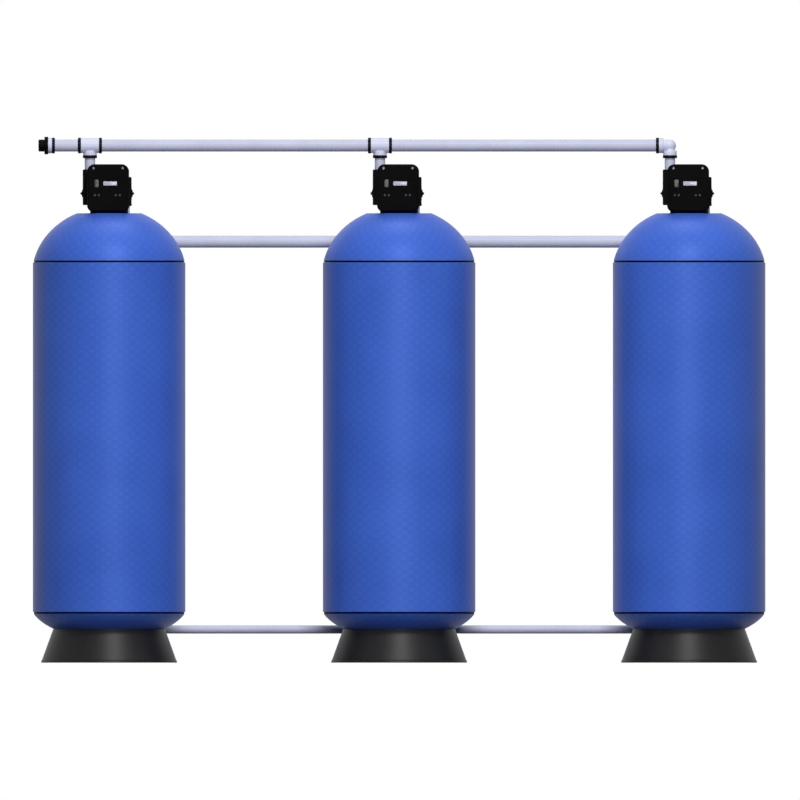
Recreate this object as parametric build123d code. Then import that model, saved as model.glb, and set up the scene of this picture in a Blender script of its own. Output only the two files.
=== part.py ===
from build123d import *
from math import acos, asin, cos, degrees, pi, radians, sin, sqrt, tan
import os

# Activated carbon filter: three fibreglass pressure vessels on cone bases, each with an automatic
# control valve, joined by an inlet header above, an outlet header and a drain header behind.
# Millimetres. +X runs along the row, +Y to the back, +Z up. The origin is on the floor at the centre
# of the unit's footprint. Each piece is drawn as if the row of vessel axes stood over the X axis, and
# add moves it by row_y, which centres the unit from the vessels' fronts to the end of the drain.

os.makedirs("parts", exist_ok=True)

# Vessels
tank_radius = 305.0
tank_wall = 9.0
tank_pitch = 1160.0
lower_seam_z = 195.0
cylinder_height = 1414.0
seam_step = 3.4  # the domes start this much inside the cylinder
seam_groove_height = 8.0
seam_groove_depth = 4.5
top_dome_depth = 277.0  # half height of the ellipse that the top dome follows
top_dome_drop = 63.0  # its centre, below the upper seam
top_dome_height = 189.0  # from the upper seam to the flat top
bottom_dome_depth = 153.0
bottom_dome_rise = 50.0  # that ellipse's centre, above the lower seam
neck_bore_radius = 50.0
neck_boss_wall = 26.0
neck_boss_depth = 34.0

# Bases
base_foot_radius = 272.0
base_top_radius = 223.5
base_wall = 8.0
base_bead_height = 10.0
base_bead_step = 3.0
base_foot_lip = 30.0
base_seat_width = 24.0
base_seat_depth = 30.0

# Clearances
seat_gap = 0.3
slide_gap = 0.3
running_gap = 0.1
pipe_gap = 0.15

# Distribution inside the vessel
hub_radius = 45.0
hub_height = 95.0
hub_floor = 8.0
hub_chamber_radius = 20.0
lateral_count = 8
lateral_radius = 13.0
lateral_wall = 3.0
lateral_reach = 195.0
lateral_rise = 48.0
lateral_slots = 6
slot_width = 1.2
riser_radius = 24.15
riser_wall = 3.7
riser_insert = 25.0
gravel_depth = 198.0
carbon_depth = 880.0
diffuser_radius = 47.5
diffuser_wall = 4.0
diffuser_height = 88.0
diffuser_slots = 20

# Valve body
flange_radius = 76.0
flange_height = 18.0
spigot_length = 30.0
spigot_chamber_radius = 38.0
valve_neck_radius = 50.0
valve_axis_rise = 79.0
barrel_radius = 44.0
barrel_front_y = -55.0
barrel_back_y = 78.0
barrel_end_wall = 12.0
barrel_flange_radius = 56.0
barrel_flange_width = 7.0
bore_radius = 30.0
riser_seat_height = 45.0
riser_socket_wall = 6.0
inlet_port_x = -76.5
outlet_port_x = 62.0
port_radius = 26.0
port_end_y = 100.0
port_start_y = -8.0
port_web_depth = 68.0
channel_radius = 14.0
channel_wall = 6.0
inlet_channel_y = 40.0
outlet_channel_y = 14.0
annulus_channel_y = 34.0
annulus_channel_radius = 8.0
drain_port_rise = 66.0
drain_port_end_y = 88.0
drain_channel_y = 25.0

# Piston and seal stack
stack_wall = 9.4
stack_window_rows = 3
stack_windows = 6
piston_travel = 24.0  # towards the front
piston_spare = 2.0  # left in front of it after the full travel
piston_length = 60.0
piston_land = 15.0
piston_waist_radius = 12.0
rod_radius = 6.0
rod_proud = 4.0  # past the drive gear's hub at rest

# Drive: bracket, gear, motor and pinion
bracket_thickness = 5.0
tab_reaches = (101.5, 94.0)  # left and right of the cover's centre, to the bracket's side tabs' ends
tab_start = 64.0
tab_drop = 47.0  # below the valve axis
tab_rises = (96.0, 66.0)  # left and right, above the valve axis
tab_thickness = 4.7
tab_corner = 5.0
cap_depth = 10.0
gear_module = 1.5
gear_teeth = 48
pinion_teeth = 18
gear_backlash = 0.3
gear_width = 10.0
gear_gap = 6.0  # from the bracket to the gear's back face
gear_hub_radius = 16.0
gear_hub_front = 6.0
gear_boss_radius = 11.9
gear_boss_engagement = 4.0
motor_angle = -50.0
motor_radius = 16.0
motor_length = 28.0
motor_flange_thickness = 4.0
motor_flange_half_width = 9.0
motor_post_offset = 21.0
motor_post_radius = 3.0
motor_post_gap = 4.0  # from the gear's front face to the motor's flange
shaft_radius = 2.0
shaft_insert = 20.0

# Valve cover and what it carries
cover_width = 168.0
cover_x = -4.0
cover_height = 190.0
cover_depth = 75.0
cover_rise = 6.0  # its lower edge, above the vessel's flat top
cover_wall = 3.0
cover_top_corner = 30.0
cover_bottom_corner = 24.0
cover_edge_radius = 8.0
panel_width = 144.0
panel_height = 90.0
panel_rise = 17.0  # panel centre above the valve axis
panel_corner = 14.0
panel_recess = 1.0
display_width = 54.0
display_height = 16.0
display_x = 4.0
display_rise = 40.0
display_corner = 1.6
lens_width = 16.0
lens_height = 32.0
lens_x = -50.0
lens_corner = 4.6
window_flange = 3.0
window_flange_thickness = 2.0
window_sink = 0.4
button_radius = 4.6
button_proud = 2.5
button_flange_radius = 6.2
button_flange_thickness = 1.2
button_plunger_radius = 2.5
button_plunger_length = 3.0
button_travel = 1.2
button_rise = -7.0
button_xs = {"menu": -57.0, "set": -41.0, "down": 27.0, "up": 43.0}
switch_radius = 3.0
switch_gap = 0.3  # left under a pressed button
screw_offset = 58.0  # each side of the cover's centre
screw_drop = 16.0  # below the cover's top edge
screw_head_radius = 5.0
screw_head_height = 3.0
screw_shank_radius = 2.0
screw_length = 12.0
screw_post_radius = 6.0
board_width = 140.0
board_height = 90.0
board_rise = 15.0
board_thickness = 1.6
board_boss_radius = 4.0
board_boss_inset = 6.0

# Pipes and fittings: outside radius and wall of each size
header_radius = 24.13
header_wall = 3.7
drop_radius = 21.08
drop_wall = 3.6
drain_radius = 16.7
drain_wall = 3.4
hub_wall = 6.0
socket_depth = 12.0
ring_width = 12.0
ring_proud = 2.0
tee_reach = 48.0
elbow_reach = 56.0
branch_reach = 50.5
drain_reach = 44.0
inlet_header_rise = 191.5  # above the valve axis
outlet_header_rise = 75.0  # above the upper seam
outlet_header_setback = 5.0  # its axis behind the cylinder's surface
drain_header_z = 133.0
drain_gap = 6.3
valve_elbow_y = 150.0
inlet_end_run = 164.2  # pipe end, from the first drop
outlet_branch_offset = 125.0  # from the middle vessel's outlet drop
drain_branch_offset = 150.0  # from the middle vessel's drain line

# Unions
nut_radius = 34.0
nut_lug = 4.0
nut_lug_width = 9.0
nut_lugs = 8
nut_length = 36.0
nut_lip = 8.0
nut_gap = 0.4
tail_radius = 22.4
tail_flange_radius = 25.4
tail_flange_thickness = 7.5
tail_socket_start = 22.0  # from the port's end face to a straight tailpiece's hub
collar_proud = 0.8
collar_length = 15.0
end_nut_length = 15.0
end_nut_proud = 5.0
end_spigot_length = 24.0
spigot_neck_depth = 1.0  # how much the spigot is waisted inside its nut
spigot_neck_proud = 1.0  # how far that waist runs out of the nut
spigot_tip_chamfer = 3.0

# Places worked out from the sizes above
upper_seam_z = lower_seam_z + cylinder_height
tank_top_z = upper_seam_z + top_dome_height
valve_z = tank_top_z + valve_axis_rise
bottom_centre_z = lower_seam_z + bottom_dome_rise
top_centre_z = upper_seam_z - top_dome_drop
dome_edge_radius = tank_radius - seam_step
top_dome_width = dome_edge_radius / sqrt(1 - (top_dome_drop / top_dome_depth) ** 2)
bottom_dome_width = dome_edge_radius / sqrt(1 - (bottom_dome_rise / bottom_dome_depth) ** 2)
cover_bottom_z = tank_top_z + cover_rise
cover_centre_z = cover_bottom_z + cover_height / 2
cover_top_z = cover_bottom_z + cover_height
cover_front_y = barrel_front_y - cover_depth
cover_inner_y = cover_front_y + cover_wall
panel_y = cover_front_y + panel_recess
screw_xs = [cover_x - screw_offset, cover_x + screw_offset]
display_size = (display_width, display_height, display_corner, display_x)
lens_size = (lens_width, lens_height, lens_corner, lens_x)
screw_z = cover_top_z - screw_drop
board_front_y = cover_inner_y + window_flange_thickness + 7.0
bracket_front_y = barrel_front_y - bracket_thickness
gear_back_y = bracket_front_y - gear_gap
gear_front_y = gear_back_y - gear_width
motor_flange_y = gear_front_y - motor_post_gap
gear_distance = gear_module * (gear_teeth + pinion_teeth) / 2
motor_x = gear_distance * cos(radians(motor_angle))
motor_z = valve_z + gear_distance * sin(radians(motor_angle))
inlet_header_z = valve_z + inlet_header_rise
outlet_header_z = upper_seam_z + outlet_header_rise
outlet_header_y = tank_radius + outlet_header_setback
drain_y = outlet_header_y + header_radius + hub_wall + ring_proud + drain_gap + drain_radius
drain_port_z = valve_z + drain_port_rise
tank_xs = [-tank_pitch, 0.0, tank_pitch]

LEFT, RIGHT = Vector(-1, 0, 0), Vector(1, 0, 0)
FRONT, BACK = Vector(0, -1, 0), Vector(0, 1, 0)
DOWN, UP = Vector(0, 0, -1), Vector(0, 0, 1)


def rod(radius, start, end):
    """A solid cylinder from one point to another."""
    start, end = Vector(*start), Vector(*end)
    along = end - start
    base = Plane(origin=start, z_dir=along)
    return base * Cylinder(radius, along.length, align=(Align.CENTER, Align.CENTER, Align.MIN))


def rod_y(radius, x, z, y_from, y_to):
    """A solid cylinder along Y."""
    return rod(radius, (x, min(y_from, y_to), z), (x, max(y_from, y_to), z))


def block(x_range, y_range, z_range):
    """A box between two corners."""
    sizes = [high - low for low, high in (x_range, y_range, z_range)]
    middle = [(high + low) / 2 for low, high in (x_range, y_range, z_range)]
    return Pos(*middle) * Box(*sizes)


def turned(points):
    """The solid that a closed outline of (radius, height) points makes about Z."""
    outline = make_face(Polyline(*[(r, h) for r, h in points], close=True))
    return Rot(90, 0, 0) * revolve(outline, Axis.Y, 360)


def facing(y, z=0.0, x=0.0):
    """A plane that faces the front, for outlines drawn as they look from there."""
    return Plane(origin=(x, y, z), x_dir=(1, 0, 0), z_dir=(0, -1, 0))


def rounded(width, height, corner):
    return RectangleRounded(width, height, corner)


def solids_of(shapes):
    """One group that holds the separate solids of several shapes."""
    return Compound([solid for shape in shapes for solid in shape.solids()])


# Vessel


def vessel_form(grow, grooved=False):
    """The vessel's outside as a solid, moved outwards by grow, or inwards where that is negative."""
    low_width, low_depth = bottom_dome_width + grow, bottom_dome_depth + grow
    high_width, high_depth = top_dome_width + grow, top_dome_depth + grow
    side = tank_radius + grow
    top = tank_top_z + grow
    low_arc = 90 - degrees(asin(bottom_dome_rise / low_depth))
    seam_angle = degrees(asin(top_dome_drop / high_depth))
    flat_angle = degrees(asin((top - top_centre_z) / high_depth))
    low = EllipticalCenterArc((0, bottom_centre_z), low_width, low_depth, 270, arc_size=low_arc)
    high = EllipticalCenterArc(
        (0, top_centre_z), high_width, high_depth, seam_angle, arc_size=flat_angle - seam_angle
    )
    middle = [low @ 1]
    if grooved:
        floor = side - seam_groove_depth
        middle += [
            (floor, lower_seam_z),
            (floor, lower_seam_z + seam_groove_height),
            (side, lower_seam_z + seam_groove_height),
            (side, upper_seam_z - seam_groove_height),
            (floor, upper_seam_z - seam_groove_height),
            (floor, upper_seam_z),
        ]
    else:
        middle += [(side, lower_seam_z), (side, upper_seam_z)]
    middle += [high @ 0]
    outline = [low, Polyline(*middle), high, Polyline(high @ 1, (0, top), low @ 0)]
    return Rot(90, 0, 0) * revolve(make_face(outline), Axis.Y, 360)


def tank():
    inside = vessel_form(-tank_wall)
    boss_radius = neck_bore_radius + neck_boss_wall
    boss = rod(boss_radius, (0, 0, tank_top_z - neck_boss_depth), (0, 0, tank_top_z - tank_wall / 2))
    neck = rod(neck_bore_radius, (0, 0, upper_seam_z), (0, 0, tank_top_z + 1))
    return vessel_form(0, grooved=True) - inside + boss - neck


def bottom_dome_z(radius, grow=0.0):
    """The height of the lower dome's surface at a radius."""
    share = radius / (bottom_dome_width + grow)
    return bottom_centre_z - (bottom_dome_depth + grow) * sqrt(1 - share**2)


def base():
    height = bottom_dome_z(base_top_radius)
    cone_radius = base_foot_radius - base_bead_step
    slope = (cone_radius - base_top_radius) / (height - base_bead_height)
    seat_radius = base_top_radius - base_seat_width
    seat_z = height - base_seat_depth

    def cone(z):
        return base_top_radius + slope * (height - z)

    ring = turned(
        [
            (base_foot_radius - base_foot_lip, 0),
            (base_foot_radius, 0),
            (base_foot_radius, base_bead_height),
            (cone_radius, base_bead_height),
            (base_top_radius, height),
            (seat_radius, height),
            (seat_radius, seat_z),
            (cone(seat_z) - base_wall, seat_z),
            (cone(base_wall) - base_wall, base_wall),
            (base_foot_radius - base_foot_lip, base_wall),
        ]
    )
    return ring - vessel_form(seat_gap)


# Distribution and media inside the vessel

hub_z = bottom_dome_z(hub_radius, -tank_wall) + seat_gap
hub_top_z = hub_z + hub_height
lateral_z = hub_z + lateral_rise
riser_bottom_z = hub_top_z - riser_insert
riser_top_z = tank_top_z + riser_seat_height - seat_gap
gravel_top_z = bottom_dome_z(0, -tank_wall) + gravel_depth
carbon_top_z = gravel_top_z + carbon_depth


def around(radius, angle):
    """A point at a radius and an angle in degrees round the vessel's axis."""
    return radius * cos(radians(angle)), radius * sin(radians(angle))


def laterals(radius, start, reach):
    """The spokes of the lower distributor, or what is cut for them, one beside each spoke angle."""
    spokes = []
    for spoke in range(lateral_count):
        angle = 360 / lateral_count * spoke
        spokes.append(rod(radius, (*around(start, angle), lateral_z), (*around(reach, angle), lateral_z)))
    return spokes


def lower_distributor():
    hub = rod(hub_radius, (0, 0, hub_z), (0, 0, hub_top_z))
    body = hub + laterals(lateral_radius, hub_radius / 2, lateral_reach)
    chamber = rod(hub_chamber_radius, (0, 0, hub_z + hub_floor), (0, 0, hub_top_z))
    socket = rod(riser_radius + pipe_gap, (0, 0, riser_bottom_z - seat_gap), (0, 0, hub_top_z + 1))
    bores = laterals(lateral_radius - lateral_wall, 1, lateral_reach - lateral_wall)
    slots = []
    pitch = (lateral_reach - hub_radius) / (lateral_slots + 1)
    for spoke in range(lateral_count):
        angle = 360 / lateral_count * spoke
        for step in range(lateral_slots):
            x, y = around(hub_radius + pitch * (step + 1), angle)
            slot = Box(slot_width, 3 * lateral_radius, lateral_radius)
            slots.append(Pos(x, y, lateral_z - lateral_radius) * Rot(0, 0, angle) * slot)
    return body - chamber - socket - bores - slots


def riser_tube():
    outside = rod(riser_radius, (0, 0, riser_bottom_z), (0, 0, riser_top_z))
    return outside - rod(riser_radius - riser_wall, (0, 0, riser_bottom_z - 1), (0, 0, riser_top_z + 1))


def media_bed(low_z, high_z):
    """A bed that fills the vessel's inside between two heights, round the riser tube."""
    slab = rod(tank_radius, (0, 0, low_z), (0, 0, high_z))
    bed = vessel_form(-tank_wall - seat_gap) & slab
    return bed - rod(riser_radius + seat_gap, (0, 0, low_z), (0, 0, high_z))


def gravel_bed():
    hub_space = rod(hub_radius + seat_gap, (0, 0, 0), (0, 0, hub_top_z + seat_gap))
    spokes = laterals(lateral_radius + seat_gap, hub_radius / 2, lateral_reach + seat_gap)
    return media_bed(0, gravel_top_z) - hub_space - spokes


def upper_diffuser():
    top = tank_top_z - spigot_length
    floor = top - diffuser_height
    basket = rod(diffuser_radius, (0, 0, floor), (0, 0, top))
    inside_radius = diffuser_radius - diffuser_wall
    basket -= rod(inside_radius, (0, 0, floor + diffuser_wall), (0, 0, top + 1))
    slots = []
    slot_height = diffuser_height - 4 * diffuser_wall
    for step in range(diffuser_slots):
        angle = 360 / diffuser_slots * step
        x, y = around(diffuser_radius, angle)
        slot = Box(4 * diffuser_wall, slot_width, slot_height)
        slots.append(Pos(x, y, (floor + top) / 2) * Rot(0, 0, angle) * slot)
    return basket - rod(riser_radius + slide_gap, (0, 0, floor - 1), (0, 0, top)) - slots


# Valve body and what slides in it

stack_outer_radius = bore_radius - slide_gap
stack_inner_radius = stack_outer_radius - stack_wall
bore_end_y = barrel_back_y - barrel_end_wall
stack_front_y = barrel_front_y + cap_depth + slide_gap
stack_back_y = bore_end_y - slide_gap
piston_front_y = stack_front_y + piston_travel + piston_spare
rod_end_y = gear_front_y - gear_hub_front - rod_proud
drain_hub_radius = drain_radius + hub_wall


def valve_body():
    shoulder_z = tank_top_z + flange_height
    body = rod(flange_radius, (0, 0, tank_top_z), (0, 0, shoulder_z))
    cut = (-flange_radius, barrel_front_y + seat_gap)
    body -= block((-flange_radius, flange_radius), cut, (tank_top_z, shoulder_z))
    body += rod(neck_bore_radius - seat_gap, (0, 0, tank_top_z - spigot_length), (0, 0, tank_top_z + 1))
    body += rod(valve_neck_radius, (0, 0, tank_top_z), (0, 0, valve_z))
    body += rod_y(barrel_radius, 0, valve_z, barrel_front_y, barrel_back_y)
    flange_back_y = barrel_front_y + barrel_flange_width
    body += rod_y(barrel_flange_radius, 0, valve_z, barrel_front_y, flange_back_y)
    web = channel_radius + channel_wall
    web_y = (port_start_y, port_start_y + port_web_depth)
    body += block((inlet_port_x, outlet_port_x), web_y, (valve_z - web, valve_z + web))
    body += block((-web, web), web_y, (valve_z, drain_port_z))
    for x in (inlet_port_x, outlet_port_x):
        body += rod_y(port_radius, x, valve_z, port_start_y, port_end_y)
    body += rod_y(drain_hub_radius, 0, drain_port_z, port_start_y, drain_port_end_y)
    # Seats and flow passages
    body -= rod_y(bore_radius, 0, valve_z, barrel_front_y - 1, bore_end_y)
    chamber_top_z = shoulder_z + 2.0
    chamber = rod(spigot_chamber_radius, (0, 0, tank_top_z - spigot_length - 1), (0, 0, chamber_top_z))
    socket_radius = riser_radius + pipe_gap
    holder = rod(socket_radius + riser_socket_wall, (0, 0, tank_top_z), (0, 0, chamber_top_z + 1))
    body -= chamber - holder
    socket_top_z = tank_top_z + riser_seat_height
    body -= rod(socket_radius, (0, 0, tank_top_z - spigot_length), (0, 0, socket_top_z))
    body -= rod(channel_radius, (0, 0, tank_top_z), (0, 0, valve_z))
    y = annulus_channel_y
    body -= rod(annulus_channel_radius, (0, y, chamber_top_z - 1), (0, y, valve_z))
    body -= rod(channel_radius, (inlet_port_x, inlet_channel_y, valve_z), (0, inlet_channel_y, valve_z))
    body -= rod(channel_radius, (0, outlet_channel_y, valve_z), (outlet_port_x, outlet_channel_y, valve_z))
    port_bore = drop_radius - drop_wall
    body -= rod_y(port_bore, inlet_port_x, valve_z, inlet_channel_y, port_end_y + 1)
    body -= rod_y(port_bore, outlet_port_x, valve_z, outlet_channel_y, port_end_y + 1)
    drain_bore = drain_radius - drain_wall
    body -= rod(drain_bore, (0, drain_channel_y, valve_z), (0, drain_channel_y, drain_port_z))
    body -= rod_y(drain_bore, 0, drain_port_z, drain_channel_y, drain_port_end_y + 1)
    socket_y = drain_port_end_y - socket_depth
    return body - rod_y(drain_radius + pipe_gap, 0, drain_port_z, socket_y, drain_port_end_y + 1)


def seal_stack():
    sleeve = rod_y(stack_outer_radius, 0, valve_z, stack_front_y, stack_back_y)
    sleeve -= rod_y(stack_inner_radius, 0, valve_z, stack_front_y - 1, stack_back_y + 1)
    length = stack_back_y - stack_front_y
    row_pitch = length / stack_window_rows
    windows = []
    for row in range(stack_window_rows):
        y = stack_front_y + row_pitch * (row + 0.5)
        for step in range(stack_windows):
            turn = Rot(0, 360 / stack_windows * step, 0)
            window = Box(stack_inner_radius / 2, row_pitch / 2, 2 * stack_outer_radius)
            out = Pos(0, 0, stack_outer_radius)
            windows.append(Pos(0, y, valve_z) * turn * out * window)
    return sleeve - windows


def piston():
    radius = stack_inner_radius - slide_gap
    back_y = piston_front_y + piston_length
    head = rod_y(radius, 0, valve_z, piston_front_y, piston_front_y + piston_land)
    head += rod_y(radius, 0, valve_z, back_y - piston_land, back_y)
    head += rod_y(piston_waist_radius, 0, valve_z, piston_front_y, back_y)
    stem = rod_y(rod_radius, 0, valve_z, rod_end_y, piston_front_y + 1)
    tip = stem.edges().filter_by(GeomType.CIRCLE).sort_by(Axis.Y)[0]
    return head + chamfer(tip, 1.0)


# Drive


def cover_outline(inset=0.0):
    """The cover's outline as seen from the front, drawn in by inset all round."""
    shape = Rectangle(cover_width - 2 * inset, cover_height - 2 * inset)
    by_height = shape.vertices().sort_by(Axis.Y)
    low, high = by_height[:2], by_height[2:]
    shape = fillet(high, cover_top_corner - inset)
    low = shape.vertices().sort_by(Axis.Y)[:2]
    return fillet(low, cover_bottom_corner - inset)


def drive_bracket():
    outline = facing(barrel_front_y, cover_centre_z, cover_x) * cover_outline(cover_wall + seat_gap)
    plate = extrude(outline, bracket_thickness)
    plate += rod_y(stack_outer_radius, 0, valve_z, barrel_front_y, barrel_front_y + cap_depth)
    plate += rod_y(gear_boss_radius + 2, 0, valve_z, gear_back_y + seat_gap, barrel_front_y)
    plate += rod_y(gear_boss_radius, 0, valve_z, gear_back_y - gear_boss_engagement, barrel_front_y)
    tab_back_y = barrel_front_y + tab_thickness
    root_reach = cover_width / 2 - cover_wall - 2 * seat_gap
    for side, reach, rise in zip((-1, 1), tab_reaches, tab_rises):
        tab_z = valve_z + (rise - tab_drop) / 2
        place = facing(tab_back_y, tab_z, cover_x + side * (tab_start + reach) / 2)
        tab_outline = rounded(reach - tab_start, rise + tab_drop, tab_corner)
        plate += extrude(place * tab_outline, tab_thickness - seat_gap)
        root_xs = sorted([cover_x + side * tab_start, cover_x + side * root_reach])
        root_zs = (valve_z - tab_drop + tab_corner, valve_z + rise - tab_corner)
        plate += block(root_xs, (bracket_front_y + 1, tab_back_y), root_zs)
    for x in screw_xs:
        plate += rod_y(screw_post_radius, x, screw_z, cover_inner_y + seat_gap, barrel_front_y)
        hole_y = cover_inner_y + screw_length
        plate -= rod_y(screw_shank_radius + running_gap, x, screw_z, cover_inner_y, hole_y)
    for x, z in motor_post_places():
        plate += rod_y(motor_post_radius, x, z, motor_flange_y, barrel_front_y)
    hole_end_y = barrel_front_y + cap_depth + 1
    hole_front_y = gear_back_y - gear_boss_engagement - 1
    return plate - rod_y(rod_radius + slide_gap, 0, valve_z, hole_front_y, hole_end_y)


def motor_post_places():
    """The two posts that carry the motor, each side of it along the gear's tangent."""
    across = radians(motor_angle + 90)
    step = Vector(cos(across), sin(across)) * motor_post_offset
    return [(motor_x + step.X * side, motor_z + step.Y * side) for side in (-1, 1)]


def gear_face(teeth, first_tooth_angle):
    """A spur gear's outline with straight-sided copies of 20 degree involute flanks."""
    pressure = radians(20)
    pitch_radius = gear_module * teeth / 2
    base_radius = pitch_radius * cos(pressure)
    tip_radius = pitch_radius + 0.9 * gear_module
    root_radius = pitch_radius - 1.2 * gear_module
    half_tooth = pi / (2 * teeth) - gear_backlash / (2 * pitch_radius)
    flank_start = max(base_radius, root_radius)
    flank_steps = 5
    flank = [(root_radius, 0.0)] if root_radius < base_radius else []
    for step in range(flank_steps):
        radius = flank_start + (tip_radius - flank_start) * step / (flank_steps - 1)
        angle = acos(min(1.0, base_radius / radius))
        flank.append((radius, tan(angle) - angle))
    level = tan(pressure) - pressure + half_tooth
    points = []
    for tooth in range(teeth):
        centre = radians(first_tooth_angle) + 2 * pi * tooth / teeth
        rising = [(radius, centre - (level - roll)) for radius, roll in flank]
        falling = [(radius, centre + (level - roll)) for radius, roll in reversed(flank)]
        points += [(r * cos(a), r * sin(a)) for r, a in rising + falling]
    return make_face(Polyline(*points, close=True))


def drive_gear():
    wheel = extrude(facing(gear_back_y, valve_z) * gear_face(gear_teeth, motor_angle), gear_width)
    wheel += rod_y(gear_hub_radius, 0, valve_z, gear_front_y - gear_hub_front, gear_back_y)
    seat_y = gear_back_y - gear_boss_engagement - seat_gap
    wheel -= rod_y(gear_boss_radius + running_gap, 0, valve_z, seat_y, gear_back_y + 1)
    return wheel - rod_y(rod_radius + slide_gap, 0, valve_z, gear_front_y - gear_hub_front - 1, gear_back_y)


def motor_pinion():
    overlap = 1.0  # the pinion stands this much past the gear on each side
    gap_angle = motor_angle + 180
    tooth_angle = gap_angle + 180 / pinion_teeth
    place = facing(gear_back_y + overlap, motor_z, motor_x)
    pinion = extrude(place * gear_face(pinion_teeth, tooth_angle), gear_width + 2 * overlap)
    shaft_end_y = motor_flange_y - shaft_insert
    return pinion + rod_y(shaft_radius, motor_x, motor_z, shaft_end_y, gear_back_y)


def drive_motor():
    body_y = motor_flange_y - motor_flange_thickness
    body = rod_y(motor_radius, motor_x, motor_z, body_y - motor_length, body_y)
    for x, z in motor_post_places():
        body += rod_y(motor_flange_half_width, x, z, body_y, motor_flange_y)
    bar = Box(2 * motor_post_offset, motor_flange_thickness, 2 * motor_flange_half_width)
    turn = Rot(0, -(motor_angle + 90), 0)
    body += Pos(motor_x, body_y + motor_flange_thickness / 2, motor_z) * turn * bar
    hole_end_y = motor_flange_y - shaft_insert - seat_gap
    return body - rod_y(shaft_radius + running_gap, motor_x, motor_z, hole_end_y, motor_flange_y + 1)


# Cover, display, lens, buttons, board and screws


def cover_boss_places():
    """The four bosses inside the cover that carry the circuit board."""
    x = board_width / 2 - board_boss_inset
    z = board_height / 2 - board_boss_inset
    centre_z = valve_z + board_rise
    return [(cover_x + across * x, centre_z + up * z) for across in (-1, 1) for up in (-1, 1)]


def front_cover():
    place = facing(barrel_front_y, cover_centre_z, cover_x)
    shell = extrude(place * cover_outline(), cover_depth)
    shell = fillet(shell.faces().sort_by(Axis.Y)[0].edges(), cover_edge_radius)
    inner_depth = cover_depth - cover_wall
    inside = extrude(place * cover_outline(cover_wall), inner_depth)
    inside = fillet(inside.faces().sort_by(Axis.Y)[0].edges(), cover_edge_radius - cover_wall)
    shell -= inside
    place = facing(panel_y, valve_z + panel_rise, cover_x)
    panel = place * rounded(panel_width, panel_height, panel_corner)
    shell -= extrude(panel, panel_recess + 1)
    for x, z in cover_boss_places():
        shell += rod_y(board_boss_radius, x, z, cover_inner_y - 1, board_front_y)
    through = (cover_front_y - 1, cover_inner_y + 1)
    for width, height, corner, x in (display_size, lens_size):
        place = facing(cover_inner_y + 1, valve_z + display_rise, x)
        window = place * rounded(width + 2 * seat_gap, height + 2 * seat_gap, corner + seat_gap)
        shell -= extrude(window, cover_wall + 2)
    for x in button_xs.values():
        shell -= rod_y(button_radius + slide_gap, x, valve_z + button_rise, *through)
    for x in screw_xs:
        shell -= rod_y(screw_shank_radius + slide_gap, x, screw_z, *through)
    return shell


def window_pane(width, height, corner, x):
    """A pane that fills a window of the cover, with a flange behind it."""
    z = valve_z + display_rise
    depth = cover_inner_y - panel_y - window_sink
    pane = extrude(facing(cover_inner_y, z, x) * rounded(width, height, corner), depth)
    flange_outline = rounded(width + 2 * window_flange, height + 2 * window_flange, corner)
    flange_y = cover_inner_y + window_flange_thickness
    return pane + extrude(facing(flange_y, z, x) * flange_outline, window_flange_thickness)


def button(x):
    z = valve_z + button_rise
    front_y = panel_y - button_proud
    flange_y = cover_inner_y + running_gap
    cap = rod_y(button_radius, x, z, front_y, flange_y)
    rim = cap.edges().filter_by(GeomType.CIRCLE).sort_by(Axis.Y)[0]
    cap = fillet(rim, 1.2)
    cap += rod_y(button_flange_radius, x, z, flange_y, flange_y + button_flange_thickness)
    plunger_y = flange_y + button_flange_thickness + button_plunger_length
    return cap + rod_y(button_plunger_radius, x, z, flange_y, plunger_y)


def circuit_board():
    z = valve_z + board_rise
    board = block(
        (cover_x - board_width / 2, cover_x + board_width / 2),
        (board_front_y, board_front_y + board_thickness),
        (z - board_height / 2, z + board_height / 2),
    )
    button_depth = button_flange_thickness + button_plunger_length + button_travel
    switch_y = cover_inner_y + running_gap + button_depth + switch_gap
    for x in button_xs.values():
        board += rod_y(switch_radius, x, valve_z + button_rise, switch_y, board_front_y + 1)
    return board


def cover_screws():
    screws = []
    for x in screw_xs:
        head = rod_y(screw_head_radius, x, screw_z, cover_front_y - screw_head_height, cover_front_y)
        head = fillet(head.edges().filter_by(GeomType.CIRCLE).sort_by(Axis.Y)[0], 1.4)
        shank = rod_y(screw_shank_radius, x, screw_z, cover_front_y, cover_front_y + screw_length)
        drive = Box(5.0, 1.6, 1.2) + Box(1.2, 1.6, 5.0)
        screws.append(head + shank - Pos(x, cover_front_y - screw_head_height, screw_z) * drive)
    return solids_of(screws)


# Pipes, fittings and unions


def pipe(radius, wall, start, end):
    start, end = Vector(*start), Vector(*end)
    step = (end - start).normalized()
    return rod(radius, start, end) - rod(radius - wall, start - step, end + step)


def fitting(centre, ends):
    """A tee or elbow. Each end is (direction, pipe radius, pipe wall, reach to the ring's far side)."""
    centre = Vector(*centre)
    body = Pos(*centre) * Sphere(max(radius for _, radius, _, _ in ends))
    for direction, radius, _, reach in ends:
        hub_end = centre + direction * (reach - ring_width)
        hub_start = centre + direction * (reach - ring_width - socket_depth - hub_wall)
        body += rod(radius, centre, hub_end)
        straight_through = any((other + direction).length < 1 for other, _, _, _ in ends)
        body += rod(radius + hub_wall, centre if straight_through else hub_start, hub_end)
    for direction, radius, wall, reach in ends:
        hub_end = centre + direction * (reach - ring_width + 1)
        socket_start = centre + direction * (reach - ring_width - socket_depth)
        body -= rod(radius - wall, centre, hub_end)
        body -= rod(radius + pipe_gap, socket_start, hub_end)
    widest = min(radius - wall for _, radius, wall, _ in ends)
    return body - Pos(*centre) * Sphere(widest)


def rings_of(centre, ends):
    """The black retaining ring at each end of a fitting."""
    centre = Vector(*centre)
    return [ring(centre, direction, radius, reach) for direction, radius, _, reach in ends]


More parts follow.
